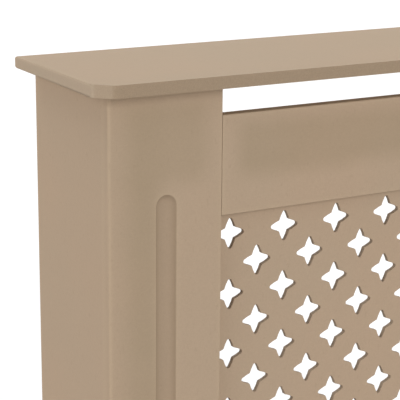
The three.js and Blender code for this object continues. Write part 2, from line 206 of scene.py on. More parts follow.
def ramp(tree, value, low, high, to_low=0.0, to_high=1.0):
    """A smooth step between two values."""
    inputs = (value, low, high, to_low, to_high)
    return place(tree, "MapRange", inputs, interpolation_type="SMOOTHSTEP").outputs["Result"]


def mixed(tree, factor, first, second, blend="MIX"):
    """Two colours mixed. The colour sockets of a Mix node are its inputs 6 and 7 and its output 2."""
    inputs = {"Factor": factor, 6: first, 7: second}
    return place(tree, "Mix", inputs, data_type="RGBA", blend_type=blend).outputs[2]


def noise(tree, vector, scale, detail=2.0, roughness=0.5, distortion=0.0):
    """The value of a noise texture."""
    inputs = {"Scale": scale, "Detail": detail, "Roughness": roughness, "Distortion": distortion}
    return place(tree, "TexNoise", {"Vector": vector, **inputs}).outputs["Fac"]


def stirred(tree, vector, scale, reach):
    """A place moved by a slow noise, by up to the reach along each axis."""
    stir = place(tree, "TexNoise", {"Vector": vector, "Scale": scale, "Detail": 1.0})
    return vector_maths(tree, "MULTIPLY_ADD", stir.outputs["Color"], (reach,) * 3, vector)


def attribute(tree, name):
    """A value that the mesh carries at its vertices."""
    return place(tree, "Attribute", attribute_name=name).outputs["Fac"]


def shader_group(name, inputs, outputs):
    """A node group with its named sockets, and its input and output nodes."""
    group = bpy.data.node_groups.new(name, "ShaderNodeTree")
    for label, (kind, value) in inputs.items():
        socket = group.interface.new_socket(label, in_out="INPUT", socket_type="NodeSocket" + kind)
        socket.default_value = value
    for label in outputs:
        group.interface.new_socket(label, in_out="OUTPUT", socket_type="NodeSocketFloat")
    given = group.nodes.new("NodeGroupInput").outputs
    return group, given, group.nodes.new("NodeGroupOutput").inputs


def use(tree, group, **inputs):
    """A group placed in a material. An input's name has _ for each space."""
    named = {name.replace("_", " ").title(): value for name, value in inputs.items()}
    return place(tree, "Group", named, node_tree=group).outputs


# ------ effects that materials share

VECTOR_INPUT = ("Vector", (0.0, 0.0, 0.0))
BOX_INPUTS = {"Place": VECTOR_INPUT, "Centre": VECTOR_INPUT, "Half Size": VECTOR_INPUT}
FIBRE_DRAWN = 0.32  # a fibre is about three times as long as it is wide


def make_board_fibre():
    """Pressed wood fibre: fine felt, sparse dark shives and the slow clouding of a sheet."""
    inputs = {"Place": VECTOR_INPUT, "Fineness": ("Float", 900.0)}
    tree, given, out = shader_group("board_fibre", inputs, ("Felt", "Shive", "Cloud"))
    bent = stirred(tree, given["Place"], 210.0, 4 * MM)
    upright = vector_maths(tree, "MULTIPLY", bent, (1.0, 1.0, FIBRE_DRAWN))
    level = vector_maths(tree, "MULTIPLY", bent, (FIBRE_DRAWN, 1.0, 1.0))
    standing = noise(tree, upright, given["Fineness"], 2.0, 0.6)
    lying = noise(tree, level, given["Fineness"], 2.0, 0.6)
    feed(out["Felt"], times(tree, maths(tree, "ADD", standing, lying), 0.5))
    coarse = times(tree, given["Fineness"], 0.45)
    feed(out["Shive"], ramp(tree, noise(tree, upright, coarse, 1.0, 0.5, 0.6), 0.66, 0.76))
    feed(out["Cloud"], ramp(tree, noise(tree, given["Place"], 7.0, 2.0, 0.45), 0.3, 0.7))
    return tree


def inset_in_box(tree, point, centre, half_size):
    """How far a point is inside a box, along each axis."""
    offset = vector_maths(tree, "SUBTRACT", point, centre)
    return parts_of(tree, vector_maths(tree, "SUBTRACT", half_size, vector_maths(tree, "ABSOLUTE", offset)))


def make_edge_distance():
    """How far a point on a box-shaped board is from the nearest of the board's edges, in metres."""
    tree, given, out = shader_group("edge_distance", BOX_INPUTS, ("Distance",))
    x, y, z = inset_in_box(tree, given["Place"], given["Centre"], given["Half Size"])
    least = maths(tree, "MINIMUM", x, y)
    most = maths(tree, "MAXIMUM", x, y)
    feed(out["Distance"], maths(tree, "MAXIMUM", least, maths(tree, "MINIMUM", most, z)))
    return tree


def make_painted_shade_patch():
    """A soft box-shaped patch of painted shade, where a face is made a little darker."""
    inputs = {**BOX_INPUTS, "Softness": ("Float", PATCH_SOFTNESS)}
    tree, given, out = shader_group("painted_shade_patch", inputs, ("Patch",))
    moved = stirred(tree, given["Place"], 24.0, PATCH_WAVER)
    centre = vector_maths(tree, "ADD", given["Centre"], (PATCH_WAVER / 2,) * 3)
    outside = times(tree, given["Softness"], -1.0)
    x, y, z = [
        ramp(tree, inset, outside, given["Softness"])
        for inset in inset_in_box(tree, moved, centre, given["Half Size"])
    ]
    feed(out["Patch"], times(tree, times(tree, x, y), z))
    return tree


def make_sawn_fuzz():
    """The broken fibre of a sawn or routed edge: short tufts, and streaks that follow the cutter."""
    inputs = {"Place": VECTOR_INPUT, "Stretch": ("Vector", (1.0, 1.0, 1.0))}
    tree, given, out = shader_group("sawn_fuzz", inputs, ("Tuft", "Streak"))
    feed(out["Tuft"], noise(tree, given["Place"], 1300.0, 3.0, 0.65, 0.8))
    drawn = vector_maths(tree, "MULTIPLY", given["Place"], given["Stretch"])
    feed(out["Streak"], noise(tree, drawn, 700.0, 2.0, 0.55))
    return tree


def make_zinc_bloom():
    """Plated steel: a faint bloom in the plating, and fine scratches from the tumbling drum."""
    inputs = {"Place": VECTOR_INPUT, "Grain": ("Float", 260.0)}
    tree, given, out = shader_group("zinc_bloom", inputs, ("Bloom", "Scratch"))
    feed(out["Bloom"], ramp(tree, noise(tree, given["Place"], given["Grain"], 3.0, 0.6, 0.4), 0.3, 0.7))
    drawn = vector_maths(tree, "MULTIPLY", given["Place"], (1.0, 9.0, 5.0))
    fine = times(tree, given["Grain"], 2.2)
    feed(out["Scratch"], ramp(tree, noise(tree, drawn, fine, 2.0, 0.7, 0.3), 0.6, 0.72))
    return tree


BOARD_FIBRE = make_board_fibre()
EDGE_DISTANCE = make_edge_distance()
PAINTED_SHADE_PATCH = make_painted_shade_patch()
SAWN_FUZZ = make_sawn_fuzz()
ZINC_BLOOM = make_zinc_bloom()

# ------ materials

# Linear colours of the board
PRESSED_FACE = (0.455, 0.341, 0.240, 1.0)
PRESSED_FACE_WARM = (0.466, 0.342, 0.239, 1.0)
# painted sheen: the top board's face is greyer than the pressed face, standing in for a whitish reflection on
# the top
SHELF_FACE_WITH_SHEEN = (0.448, 0.350, 0.256, 1.0)
RIPPED_STRIP = (0.385, 0.290, 0.200, 1.0)
# painted highlight on the arrises and the flute's lip
PAINTED_ARRIS_HIGHLIGHT = (0.520, 0.398, 0.270, 1.0)
SHIVE_BROWN = (0.300, 0.212, 0.138, 1.0)
SAWN_EDGE = (0.345, 0.255, 0.172, 1.0)
ROUTED_WALL = (0.320, 0.245, 0.178, 1.0)
ROUTED_WALL_STREAK = tuple(1.35 * part for part in ROUTED_WALL)
PATCH_TINT = (1.0, 0.94, 1.2)  # how much of a painted shade patch's amount each colour loses

# Linear colours of the fittings
ZINC_BRIGHT, ZINC_DULL = (0.62, 0.63, 0.64, 1.0), (0.42, 0.43, 0.44, 1.0)
SCREW_BRIGHT, SCREW_DULL = (0.58, 0.57, 0.53, 1.0), (0.40, 0.39, 0.36, 1.0)
STEEL_SCRATCH = (0.86, 0.87, 0.88, 1.0)
BEECH_DARK, BEECH_PALE = (0.50, 0.33, 0.18, 1.0), (0.66, 0.48, 0.30, 1.0)
BEECH_RAY = (0.33, 0.19, 0.10, 1.0)

# Strength of the effects on a board
SAWN_FACING = (0.45, 0.95)  # how squarely a face looks along an axis where its sawn tone begins and is full
# width and strength of the painted highlight on the arrises and the flute's lip
ARRIS_WIDTH = 6 * MM
ARRIS_HIGHLIGHT_STRENGTH = 0.22
LIP_HIGHLIGHT_STRENGTH = 0.15
FLUTE_WALL_TONE_AND_SHADE, ROUTED_FLAT = 0.88, 0.26  # sawn tone of a flute's walls and of its bottom; the steep walls get more of it as painted shade
SHIVE_AMOUNT = 0.13
SAWN_ROUGHER = 0.08
FIBRE_RISE = 0.09 * MM  # on a pressed face
STRIP_RISE = 1.6  # on the ripped strip, as a share of that


def new_material(name, roughness, specular):
    """A material with its Principled BSDF, and the place and normal on the piece itself."""
    material = bpy.data.materials.new(name)
    material.use_nodes = True
    tree = material.node_tree
    shader = tree.nodes["Principled BSDF"]
    shader.inputs["Roughness"].default_value = roughness
    shader.inputs["Specular IOR Level"].default_value = specular
    where = place(tree, "TexCoord").outputs
    return material, tree, shader, where["Object"], where["Normal"]


def dress(tree, shader, colour, rough, height, distance, strength):
    """Feeds a surface's colour, roughness and height to the shader."""
    feed(shader.inputs["Base Color"], colour)
    feed(shader.inputs["Roughness"], rough)
    inputs = {"Height": height, "Distance": distance, "Strength": strength}
    feed(shader.inputs["Normal"], place(tree, "Bump", inputs).outputs["Normal"])


def tinted(face, tone):
    """A face's colour, changed as the tone differs from the plain pressed face."""
    return [f * t / p for f, t, p in zip(face, tone, PRESSED_FACE)]


def sawn_share(tree, facing, edge_shades):
    """How much of the sawn tone each face has."""
    sawn = 0.0
    for looking, amount in zip(facing, edge_shades):
        if amount:
            sawn = maths(tree, "MULTIPLY_ADD", ramp(tree, looking, *SAWN_FACING), amount, sawn)
    return sawn


def painted_edge_highlight(tree, where, node):
    """How much painted highlight the board has, near its own edges and at the lip of its flute."""
    low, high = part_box(node)
    middle, half_size = (low + high) / 2, (high - low) / 2
    margin = use(tree, EDGE_DISTANCE, place=where, centre=middle, half_size=half_size)["Distance"]
    arris = ramp(tree, margin, 0.0, ARRIS_WIDTH, ARRIS_HIGHLIGHT_STRENGTH, 0.0)
    return maths(tree, "MAXIMUM", arris, times(tree, attribute(tree, "rim"), LIP_HIGHLIGHT_STRENGTH))


def mdf_board(name, node, face_axis, edge_shades, face=PRESSED_FACE, patches=(), rise=1.0):
    """Raw MDF: a smooth pressed face with a painted highlight at its arrises, and darker and rougher sawn
    edges.

    Its pressed faces look along the face axis. Edge shades are the amounts of sawn tone on the faces that
    look along x, y and z, patches of painted shade are (centre, half size, amount), and the rise is a share
    of FIBRE_RISE.
    """
    material, tree, shader, where, normal = new_material(name, roughness=0.85, specular=0.15)
    fibre = use(tree, BOARD_FIBRE, place=where, fineness=820.0)
    fuzz = use(tree, SAWN_FUZZ, place=where, stretch=(0.12, 1.0, 1.0))
    facing = parts_of(tree, vector_maths(tree, "ABSOLUTE", normal))
    sawn = sawn_share(tree, facing, edge_shades)

    colour = mixed(tree, fibre["Cloud"], face, tinted(face, PRESSED_FACE_WARM))
    # painted highlight on the arrises and at the flute's lip
    colour = mixed(tree, painted_edge_highlight(tree, where, node), colour, tinted(face, PAINTED_ARRIS_HIGHLIGHT))
    # painted shade: each patch darkens the colour
    for centre, half_size, amount in patches:
        patch = use(tree, PAINTED_SHADE_PATCH, place=where, centre=centre, half_size=half_size)["Patch"]
        darker = [1.0 - amount * share for share in PATCH_TINT] + [1.0]
        colour = mixed(tree, patch, colour, darker, "MULTIPLY")
    # painted shade: the flute's steep walls are made darker than its routed bottom
    wall_tone_and_shade = ramp(tree, facing[face_axis], 0.60, 1.0, FLUTE_WALL_TONE_AND_SHADE, ROUTED_FLAT)
    colour = mixed(tree, times(tree, attribute(tree, "routed"), wall_tone_and_shade), colour, SAWN_EDGE)
    colour = mixed(tree, sawn, colour, SAWN_EDGE)
    felt = ramp(tree, fibre["Felt"], 0.32, 0.68, 0.97, 1.03)
    colour = mixed(tree, 1.0, colour, felt, "MULTIPLY")
    colour = mixed(tree, times(tree, fibre["Shive"], SHIVE_AMOUNT), colour, SHIVE_BROWN)
    tufts = ramp(tree, fuzz["Tuft"], 0.3, 0.7, 0.9, 1.1)
    colour = mixed(tree, sawn, colour, mixed(tree, 1.0, colour, tufts, "MULTIPLY"))

    rough = ramp(tree, fibre["Felt"], 0.3, 0.7, 0.78, 0.9)
    rough = maths(tree, "MULTIPLY_ADD", sawn, SAWN_ROUGHER, rough)
    streak = maths(tree, "ADD", times(tree, fuzz["Streak"], 1.4), fuzz["Tuft"])
    height = maths(tree, "MULTIPLY_ADD", times(tree, streak, sawn), 1.2, fibre["Felt"])
    dress(tree, shader, colour, rough, height, FIBRE_RISE * rise, 0.55)
    return material


def routed_wall(name):
    """The wall of a star hole, burnished dark by the router."""
    material, tree, shader, where, _ = new_material(name, roughness=0.85, specular=0.2)
    fuzz = use(tree, SAWN_FUZZ, place=where, stretch=(1.0, 0.15, 1.0))
    fibre = use(tree, BOARD_FIBRE, place=where, fineness=1100.0)
    colour = mixed(tree, ramp(tree, fuzz["Streak"], 0.3, 0.7), ROUTED_WALL, ROUTED_WALL_STREAK)
    colour = mixed(tree, times(tree, fibre["Shive"], 0.5), colour, SHIVE_BROWN)
    rough = ramp(tree, fuzz["Tuft"], 0.3, 0.7, 0.78, 0.95)
    height = maths(tree, "ADD", fuzz["Streak"], fuzz["Tuft"])
    dress(tree, shader, colour, rough, height, 0.12 * MM, 0.6)
    return material


def plated_steel(name, bright, dull, grain, polish):
    """Zinc-plated steel with a worn bloom. The polish is its roughness between dull and bright."""
    material, tree, shader, where, _ = new_material(name, roughness=polish, specular=0.5)
    shader.inputs["Metallic"].default_value = 1.0
    bloom = use(tree, ZINC_BLOOM, place=where, grain=grain)
    colour = mixed(tree, bloom["Bloom"], dull, bright)
    colour = mixed(tree, times(tree, bloom["Scratch"], 0.35), colour, STEEL_SCRATCH)
    rough = ramp(tree, bloom["Bloom"], 0.0, 1.0, polish + 0.12, polish - 0.06)
    height = maths(tree, "SUBTRACT", bloom["Bloom"], bloom["Scratch"])
    dress(tree, shader, colour, rough, height, 0.04 * MM, 0.4)
    return material


def beech(name):
    """Beech with its long grain and short dark rays. The grain runs along the dowel's own z axis."""
    material, tree, shader, where, _ = new_material(name, roughness=0.6, specular=0.35)
    drawn = vector_maths(tree, "MULTIPLY", where, (1.0, 1.0, 0.05))
    grain = noise(tree, drawn, 900.0, 3.0, 0.6, 0.5)
    short = vector_maths(tree, "MULTIPLY", where, (1.0, 1.0, 0.25))
    rays = ramp(tree, noise(tree, short, 1500.0, 1.0), 0.63, 0.7)
    colour = mixed(tree, ramp(tree, grain, 0.3, 0.7), BEECH_DARK, BEECH_PALE)
    colour = mixed(tree, times(tree, rays, 0.6), colour, BEECH_RAY)
    rough = ramp(tree, grain, 0.3, 0.7, 0.52, 0.68)
    dress(tree, shader, colour, rough, maths(tree, "SUBTRACT", grain, rays), 0.06 * MM, 0.5)
    return material


# ------ mesh helpers


def put_in_scene(name, data):
    """An object of the scene with the data given."""
    thing = bpy.data.objects.new(name, data)
    bpy.context.scene.collection.objects.link(thing)
    return thing


def mesh_of(name, body):
    """A mesh made from a bmesh, with its faces turned outwards."""
    bmesh.ops.recalc_face_normals(body, faces=body.faces)
    mesh = bpy.data.meshes.new(name)
    body.to_mesh(mesh)
    body.free()
    return mesh


def surfaced(mesh, materials, smooth_angle):
    """The mesh with its materials, and smooth where its faces meet at less than the angle in degrees."""
    mesh.shade_smooth()
    mesh.set_sharp_from_angle(angle=math.radians(smooth_angle))
    for material in materials:
        mesh.materials.append(material)
    return mesh


def finish_piece(name, body, materials, nodes, smooth_angle=40.0):
    """A piece made from a bmesh, which stands for the nodes named."""
    return show_piece(name, surfaced(mesh_of(name, body), materials, smooth_angle), nodes)


def show_piece(name, mesh, nodes, matrix=None):
    """A piece with even shading. It rides on the cover and stands for the nodes named."""
    piece = put_in_scene(name, mesh)
    if matrix is not None:
        piece.matrix_world = matrix
    shading = piece.modifiers.new("even_faces", "WEIGHTED_NORMAL")
    shading.keep_sharp = True
    shading.weight = EVEN_FACE_WEIGHT
    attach(piece, "root")
    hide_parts(*nodes)
    return piece


def ring_of(body, points):
    """Vertices at the points given."""
    return [body.verts.new(point) for point in points]


def join_rings(body, first, second, closed=True):
    """Faces between two rings with as many vertices each."""
    count = len(first)
    faces = []
    for i in range(count if closed else count - 1):
        j = (i + 1) % count
        faces.append(body.faces.new((first[i], first[j], second[j], second[i])))
    return faces


def skin(body, rings):
    """Faces between each ring and the next."""
    for one, next_one in zip(rings, rings[1:]):
        join_rings(body, one, next_one)


def cap(body, rings):
    """A face inside the first ring and one inside the last."""
    body.faces.new(rings[0])
    body.faces.new(rings[-1])


def fill_between(body, rings):
    """Flat faces inside the first ring of vertices and outside the others."""
    vertices = [vertex for ring in rings for vertex in ring]
    for triangle in tessellate_polygon([[vertex.co for vertex in ring] for ring in rings]):
        corners = [vertices[i] for i in triangle]
        first, second, third = (vertex.co for vertex in corners)
        if (second - first).cross(third - first).length > LEAST_TRIANGLE:
            body.faces.new(corners)


def prism(outline, lift):
    """A closed prism from an outline of points and the vector that lifts it."""
    body = bmesh.new()
    low = ring_of(body, outline)
    high = ring_of(body, [Vector(point) + Vector(lift) for point in outline])
    cap(body, [low, high])
    join_rings(body, low, high)
    return body


def ease(body, radius, chosen, steps=SAWN_EDGE_STEPS):
    """Rounds the edges for which the test is true of their middle and their direction."""
    edges = []
    for edge in body.edges:
        start, end = (vertex.co for vertex in edge.verts)
        if chosen((start + end) / 2, (end - start).normalized()):
            edges.append(edge)
    how = {"offset_type": "OFFSET", "profile": 0.5, "affect": "EDGES", "clamp_overlap": True}
    bmesh.ops.bevel(body, geom=edges, offset=radius, segments=steps, **how)


def rounded_corner(before, corner, after, radius, steps):
    """Points of an arc that rounds the corner of an outline."""
    corner = Vector(corner)
    back = (Vector(before) - corner).normalized()
    on = (Vector(after) - corner).normalized()
    half = back.angle(on) / 2
    reach = radius / math.tan(half)
    centre = corner + (back + on).normalized() * (radius / math.sin(half))
    start = (corner + back * reach - centre).normalized()
    end = (corner + on * reach - centre).normalized()
    return [centre + start.slerp(end, i / steps) * radius for i in range(steps + 1)]


def arc(centre, radius, start, end, steps):
    """Points of an arc in a plane, with its angles in degrees."""
    points = []
    for i in range(steps + 1):
        angle = math.radians(start + (end - start) * i / steps)
        points.append((centre[0] + radius * math.cos(angle), centre[1] + radius * math.sin(angle)))
    return points


# ------ boards


def finish_board(name, body, node, face_axis, edge_shades, slot="mdf_board", **looks):
    """A board made from a bmesh, in an MDF of its own."""
    board = mdf_board("mdf_" + node, node, face_axis, edge_shades, **looks)
    finish_piece(name, body, [board], [node])


def make_top_board():
    """The top board, with clipped front corners and eased arrises."""
    low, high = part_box("top_board")
    left = [(low.x, high.y), (low.x, low.y + CORNER_CLIP), (low.x + CORNER_CLIP, low.y)]
    right = [(high.x - CORNER_CLIP, low.y), (high.x, low.y + CORNER_CLIP), (high.x, high.y)]
    corners = [(x, y, low.z) for x, y in left + right]
    outline = [corners[0]]
    for before, corner, after in zip(corners, corners[1:], corners[2:]):
        outline += rounded_corner(before, corner, after, CLIP_ROUND, CLIP_ROUND_STEPS)
    outline.append(corners[-1])
    body = prism(outline, (0, 0, high.z - low.z))
    ease(body, BOARD_EDGE_ROUND, lambda middle, way: abs(way.z) < 0.5, BOARD_EDGE_STEPS)
    # painted light: the sawn front and back edges get the sawn tone but the sawn ends almost none, so the
    # ends show lighter as if lit from the side
    finish_board("shelf_board", body, "top_board", 2, (0.08, 0.9, 0.0), face=SHELF_FACE_WITH_SHEEN)


def make_side(end):
    """A side panel, notched at the back for the skirting board."""
    node = end + "_side_panel"
    low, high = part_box(node)
    foot, over = high.y - SKIRTING_NOTCH_DEPTH, low.z + SKIRTING_NOTCH_HEIGHT
    corners = [(low.y, low.z), (foot, low.z), (foot, over), (high.y, over), (high.y, high.z), (low.y, high.z)]
    body = prism([(low.x, y, z) for y, z in corners], (high.x - low.x, 0, 0))

    def is_free(middle, way):
        """True of the edges of the side's two faces that meet neither the pilaster nor the top board."""
        return abs(way.x) < 0.5 and middle.y > low.y + MM and middle.z < high.z - MM

    ease(body, SAWN_EDGE_ROUND, is_free)
    finish_board(end + "_side_board", body, node, 0, (0.0, 0.8, 0.8))


def pilaster_plan(outer, inner, front, back, level):
    """The post's section, from its outer back corner to the inner one, and the place of its face in it."""
    corners = [(outer, back, level), (outer, front, level), (inner, front, level), (inner, back, level)]
    plan = corners[:1]
    plan += rounded_corner(*corners[:3], OUTER_CORNER_ROUND, OUTER_CORNER_STEPS)
    first_on_face = len(plan) - 1
    plan += rounded_corner(*corners[1:], INNER_CORNER_ROUND, INNER_CORNER_STEPS)
    plan += corners[3:]
    return plan, first_on_face


def flute_profile():
    """From the face into the flute: (distance from its middle line, depth, painted highlight of the lip)."""
    half = FLUTE_WIDTH / 2
    cove = (half**2 + FLUTE_DEPTH**2) / (2 * FLUTE_DEPTH)
    slope = math.asin(half / cove)
    lip_start = half + FLUTE_LIP_ROUND * math.tan(slope / 2)
    profile = [(half + FLUTE_MARGIN, 0.0, 0.0), (lip_start, 0.0, 1.0)]
    for step in range(1, FLUTE_LIP_STEPS + 1):
        turn = slope * step / FLUTE_LIP_STEPS
        distance = lip_start - FLUTE_LIP_ROUND * math.sin(turn)
        profile.append((distance, FLUTE_LIP_ROUND * (1 - math.cos(turn)), 1.0))
    start = math.asin(profile[-1][0] / cove)
    for step in range(1, FLUTE_COVE_STEPS):
        turn = start * (1 - step / FLUTE_COVE_STEPS)
        profile.append((cove * math.sin(turn), cove * math.cos(turn) - (cove - FLUTE_DEPTH), 0.0))
    return profile


def flute_ring(radius, middle_x, low, high, depth):
    """A ring round the flute's middle line, at one depth."""
    ends = arc((middle_x, high), radius, 0, 180, FLUTE_END_STEPS)
    ends += arc((middle_x, low), radius, 180, 360, FLUTE_END_STEPS)
    return [(x, depth, z) for x, z in ends]


def rout_flute(body, rim, routed, middle_x, front):
    """The margin, the lip and the cove of the flute. Returns its outermost ring, which lies in the face."""
    low = FLUTE_ABOVE_FLOOR + FLUTE_WIDTH / 2
    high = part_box("top_board")[0].z - FLUTE_BELOW_TOP - FLUTE_WIDTH / 2
    rings = []
    for radius, depth, lip_highlight in flute_profile():
        ring = ring_of(body, flute_ring(radius, middle_x, low, high, front + depth))
        for vertex in ring:
            # the rim layer carries the painted highlight of the flute's lip
            vertex[rim] = lip_highlight
            vertex[routed] = min(1.0, depth / FLUTE_LIP_ROUND)
        rings.append(ring)
    skin(body, rings)
    deepest = front + FLUTE_DEPTH
    top_end, low_end = ring_of(body, [(middle_x, deepest, high), (middle_x, deepest, low)])
    top_end[routed] = low_end[routed] = 1.0
    last = rings[-1]
    count = len(last) // 2
    for i in range(count - 1):
        body.faces.new((last[i], last[i + 1], top_end))
        body.faces.new((last[count + i], last[count + i + 1], low_end))
    body.faces.new((last[count - 1], last[count], low_end, top_end))
    body.faces.new((last[-1], last[0], top_end, low_end))
    return rings[0]


def make_pilaster(end):
    """The fluted post. Its outer corner is well rounded and runs into the side."""
    node = end + "_pilaster"
    low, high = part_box(node)
    outer, inner, inwards = (low.x, high.x, 1) if end == "left" else (high.x, low.x, -1)
    plan, first_on_face = pilaster_plan(outer, inner, low.y, high.y, low.z)
    body = bmesh.new()
    rim = body.verts.layers.float.new("rim")
    routed = body.verts.layers.float.new("routed")
    foot = ring_of(body, plan)
    head = ring_of(body, [(x, y, high.z) for x, y, _ in plan])
    cap(body, [foot, head])
    for i in range(len(plan)):
        if i != first_on_face:
            j = (i + 1) % len(plan)
            body.faces.new((foot[i], foot[j], head[j], head[i]))
    flute = rout_flute(body, rim, routed, (outer + inner) / 2, low.y)
    a, b = first_on_face, first_on_face + 1
    fill_between(body, [[foot[a], foot[b], head[b], head[a]], flute])

    # patches of painted shade
    patches = []
    for from_outer, height, half_width, half_height, amount in PILASTER_SHADE_PATCHES:
        middle = (outer + inwards * from_outer, low.y - PATCH_STAND_OFF, height)
        patches.append((middle, (half_width, PATCH_HALF_DEPTH, half_height), amount))
    finish_board(end + "_fluted_post", body, node, 1, (0.0, 0.0, 0.8), patches=patches)


def rail_section(low, high, inset):
    """A rail's rounded section as (y, z), drawn in by the inset on all sides."""
    corners = [(low.y, low.z), (high.y, low.z), (high.y, high.z), (low.y, high.z)]
    radii = [RAIL_EDGE_ROUND, SAWN_EDGE_ROUND, SAWN_EDGE_ROUND, RAIL_EDGE_ROUND]
    middle = Vector(((low.y + high.y) / 2, (low.z + high.z) / 2))
    section = []
    for i, radius in enumerate(radii):
        before, corner, after = corners[i - 1], corners[i], corners[(i + 1) % 4]
        for point in rounded_corner(before, corner, after, radius, RAIL_EDGE_STEPS):
            off = point - middle
            section.append((point.x - math.copysign(inset, off.x), point.y - math.copysign(inset, off.y)))
    return section


def make_rail(node):
    """A rail between the pilasters, with its front arrises eased."""
    low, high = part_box(node)
    ends = [(way_in * JOINT_EDGE_ROUND, inset * JOINT_EDGE_ROUND) for way_in, inset in JOINT_EDGE_PROFILE]
    stations = [(low.x + way_in, inset) for way_in, inset in ends]
    stations += [(high.x - way_in, inset) for way_in, inset in reversed(ends)]
    body = bmesh.new()
    rings = [ring_of(body, [(x, y, z) for y, z in rail_section(low, high, inset)]) for x, inset in stations]
    skin(body, rings)
    cap(body, rings)
    # a patch of painted shade
    height, amount = RAIL_SHADE_PATCHES[node]
    half_size = ((high.x - low.x) / 2 - RAIL_PATCH_INSET, PATCH_HALF_DEPTH, RAIL_PATCH_HALF_HEIGHT)
    patches = [((0, low.y - PATCH_STAND_OFF, height), half_size, amount)]
    finish_board(node.replace("rail", "cross_rail"), body, node, 1, (0.8, 0.0, 0.75), patches=patches)


def make_batten(end):
    """The ripped strip in the corner behind a pilaster."""
    node = end + "_corner_batten"
    low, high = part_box(node)
    outline = [(low.x, low.y, low.z), (high.x, low.y, low.z), (high.x, high.y, low.z), (low.x, high.y, low.z)]
    body = prism(outline, (0, 0, high.z - low.z))
    ease(body, BATTEN_EDGE_ROUND, lambda middle, way: True)
    looks = {"face": RIPPED_STRIP, "rise": STRIP_RISE}
    finish_board(end + "_corner_strip", body, node, 1, (0.5, 0.3, 0.8), "mdf_strip", **looks)


# ------ sheet of stars


def petal_outline():
    """Points round a star hole in its own plane, one petal after another."""
    waist = Vector((STAR_WAIST, STAR_WAIST))
    tip_centre = Vector((STAR_REACH - PETAL_TIP_RADIUS, 0))
    # The flank is an arc from the waist that meets the tip's circle smoothly.
    span = tip_centre - waist
    reach = PETAL_FLANK_RADIUS - PETAL_TIP_RADIUS
    along = (PETAL_FLANK_RADIUS**2 - reach**2 + span.length**2) / (2 * span.length)
    off = math.sqrt(PETAL_FLANK_RADIUS**2 - along**2)
    way = span.normalized()
    centre = waist + way * along + Vector((way.y, -way.x)) * off
    start = math.degrees(math.atan2(waist.y - centre.y, waist.x - centre.x))
    meet = math.degrees(math.atan2(tip_centre.y - centre.y, tip_centre.x - centre.x))
    flank = arc(centre, PETAL_FLANK_RADIUS, start, meet, PETAL_FLANK_STEPS)
    tip = arc(tip_centre, PETAL_TIP_RADIUS, meet, 0, PETAL_TIP_STEPS)
    half = [Vector(point) for point in flank + tip[1:]]
    points = []
    for quarter in range(4):
        turn = Matrix.Rotation(math.radians(90 * quarter), 2)
        below = [turn @ Vector((point.x, -point.y)) for point in half]
        above = [turn @ point for point in reversed(half)]
        points += below + above[1:-1]
    return points


def outward(outline):
    """The outward normal at each point of an outline."""
    normals = []
    for i in range(len(outline)):
        way = outline[(i + 1) % len(outline)] - outline[i - 1]
        normals.append(Vector((way.y, -way.x)).normalized())
    return normals


def diamond_outline(count):
    """Points round the diamond of sheet that holds one star, as many as the count."""
    step = STAR_PITCH / 2
    corners = [Vector((0, -step)), Vector((step, 0)), Vector((0, step)), Vector((-step, 0))]
    quarter = count // 4
    points = []
    for side in range(4):
        points += [corners[side].lerp(corners[(side + 1) % 4], i / quarter) for i in range(quarter)]
    return points


def star_cell(body, at, star, diamond, front, back):
    """A star hole and its diamond of sheet, front and back. Returns the faces of the hole's wall."""
    rim = STAR_RIM_ROUND
    hole = []
    for out, y in (rim, front), (0.0, front + rim), (0.0, back - rim), (rim, back):
        points = [at + point + normal * out for point, normal in star]
        hole.append(ring_of(body, [(point.x, y, point.y) for point in points]))
    edges = [ring_of(body, [(at.x + point.x, y, at.y + point.y) for point in diamond]) for y in (front, back)]
    skin(body, [edges[0], hole[0], hole[1]])
    wall = join_rings(body, hole[1], hole[2])
    skin(body, [hole[2], hole[3], edges[1]])
    return wall


def make_grille():
    """The sheet of staggered stars, with routed walls and softened rims."""
    low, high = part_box("grille_panel")
    centre = (low + high) / 2
    outline = petal_outline()
    star = list(zip(outline, outward(outline)))
    diamond = diamond_outline(len(outline))
    step = STAR_PITCH / 2
    clear = 2 * (STAR_REACH + STAR_LAND + GRILLE_LAP)
    columns = math.floor((high.x - low.x - clear) / step)
    rows = math.floor((high.z - low.z - clear) / step)
    body = bmesh.new()
    walls = []
    for row in range(rows + 1):
        for column in range(row % 2, columns + 1, 2):
            at = Vector((centre.x + (column - columns / 2) * step, centre.z + (rows / 2 - row) * step))
            walls += star_cell(body, at, star, diamond, low.y, high.y)
    for face in walls:
        face.material_index = 1
    bmesh.ops.remove_doubles(body, verts=body.verts, dist=WELD)
    fill_sheet(body, low, high)
    sheet = mdf_board("mdf_star_sheet", "grille_panel", 1, edge_shades=(0.8, 0.0, 0.8))
    materials = [sheet, routed_wall("mdf_star_wall")]
    finish_piece("star_sheet", body, materials, ["grille_panel"], 35.0)


def fill_sheet(body, low, high):
    """Fills the gaps between diamonds, and carries their outer edges out to the sheet's rectangle."""
    open_edges = {low.y: [], high.y: []}
    for edge in body.edges:
        if edge.is_boundary:
            open_edges[min(open_edges, key=lambda y: abs(y - edge.verts[0].co.y))].append(edge)
    edges_of_sheet = []
    for y, edges in open_edges.items():
        for ring in ordered_loops(edges):
            xs = [vertex.co.x for vertex in ring]
            if max(xs) - min(xs) > STAR_PITCH * 2:
                ring = from_top_left(ring)
                outer = ring_of(body, [(x, y, z) for x, z in carried_out(ring, low, high)])
                join_rings(body, ring, outer)
                edges_of_sheet.append(outer)
            else:
                body.faces.new(ring)
    join_rings(body, *edges_of_sheet)


